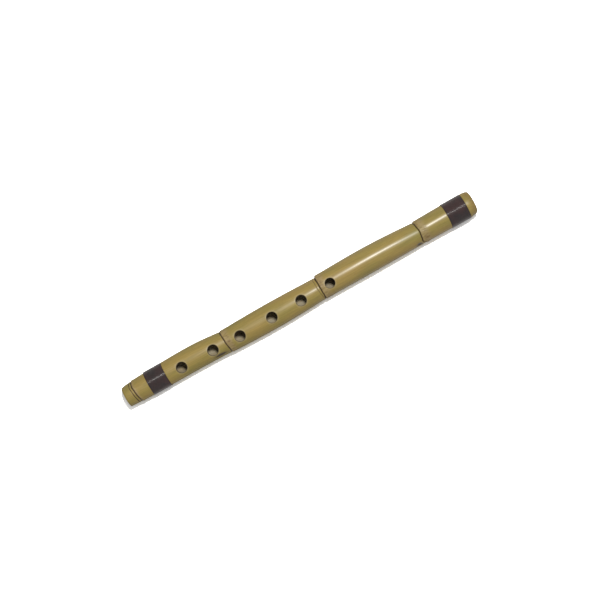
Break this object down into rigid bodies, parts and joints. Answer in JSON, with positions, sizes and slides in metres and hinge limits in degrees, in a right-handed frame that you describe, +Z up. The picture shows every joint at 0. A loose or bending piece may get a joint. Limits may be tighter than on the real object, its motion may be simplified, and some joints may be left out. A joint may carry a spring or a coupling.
{
  "type": "kawala",
  "caption": "End-blown reed cane flute, open at both ends, with a row of finger holes along its top and a wound thread binding near each end.",
  "frame": {"origin": "on the surface that the flute lies on, under the middle of its length and width", "axes": "+X along the cane towards the blowing end, +Z up through the finger holes"},
  "size_m": [0.35, 0.0256, 0.0241],
  "materials": {
    "cane": "lacquered reed cane, satin to glossy",
    "binding_core": "inner layer of waxed thread, matt",
    "thread": "waxed and lacquered thread, glossy"
  },
  "bodies": {
    "root": {"cane_body": "cane", "lower_binding_core": "binding_core", "lower_binding_turns": "thread", "upper_binding_core": "binding_core", "upper_binding_turns": "thread"}
  },
  "joints": []
}
